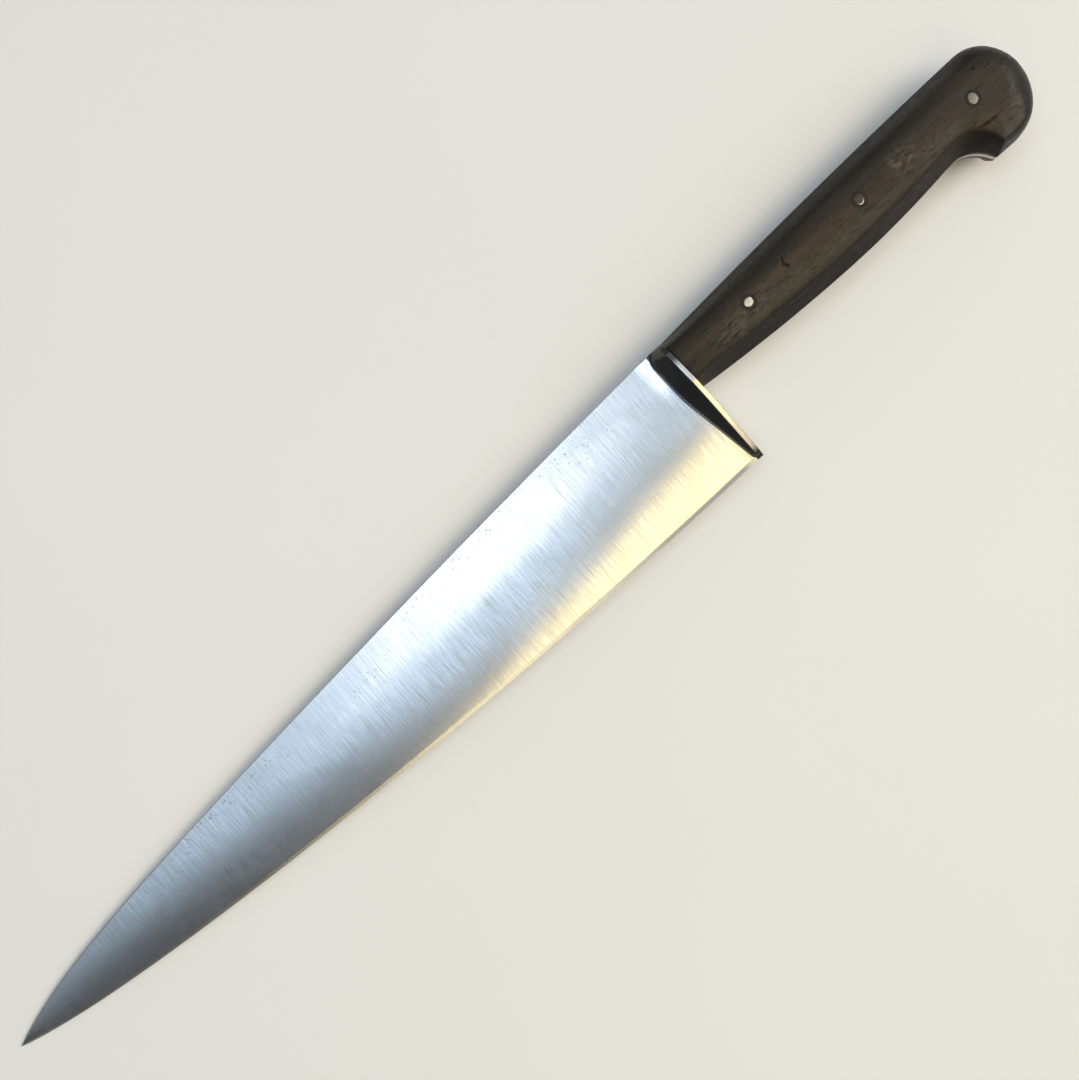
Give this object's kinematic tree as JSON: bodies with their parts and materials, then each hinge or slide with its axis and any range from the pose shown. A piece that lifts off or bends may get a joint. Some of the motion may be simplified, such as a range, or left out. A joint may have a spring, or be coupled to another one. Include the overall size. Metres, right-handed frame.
{
  "type": "chef knife",
  "caption": "Forged full-tang chef knife: long tapering blade, full-height bolster, dark hooked wood scales held by solid pins",
  "frame": {"origin": "Bottom centre of the knife's bounding box as it lies on its right side; the outer face of the right scale is at z = 0.", "axes": "+X runs from the tip to the butt, +Y from the cutting edge to the spine, +Z out of the blade's left face. The knife's mid-plane is parallel to XY at z = 0.0082."},
  "size_m": [0.3702, 0.046, 0.0165],
  "materials": {
    "blade_steel": "ground carbon steel with fine lines across the blade, light grey patina and small dark pits, brighter polished bolster",
    "handle_wood": "dark close-grained hardwood, oiled and worn to a dull sheen, browner on the sides",
    "pin_metal": "peened nickel-silver pin heads, dull with bright worn rims"
  },
  "bodies": {
    "root": {"blade_forging": "blade_steel", "scale_left": "handle_wood", "scale_right": "handle_wood", "pin_front": "pin_metal", "pin_middle": "pin_metal", "pin_rear": "pin_metal"}
  },
  "joints": []
}
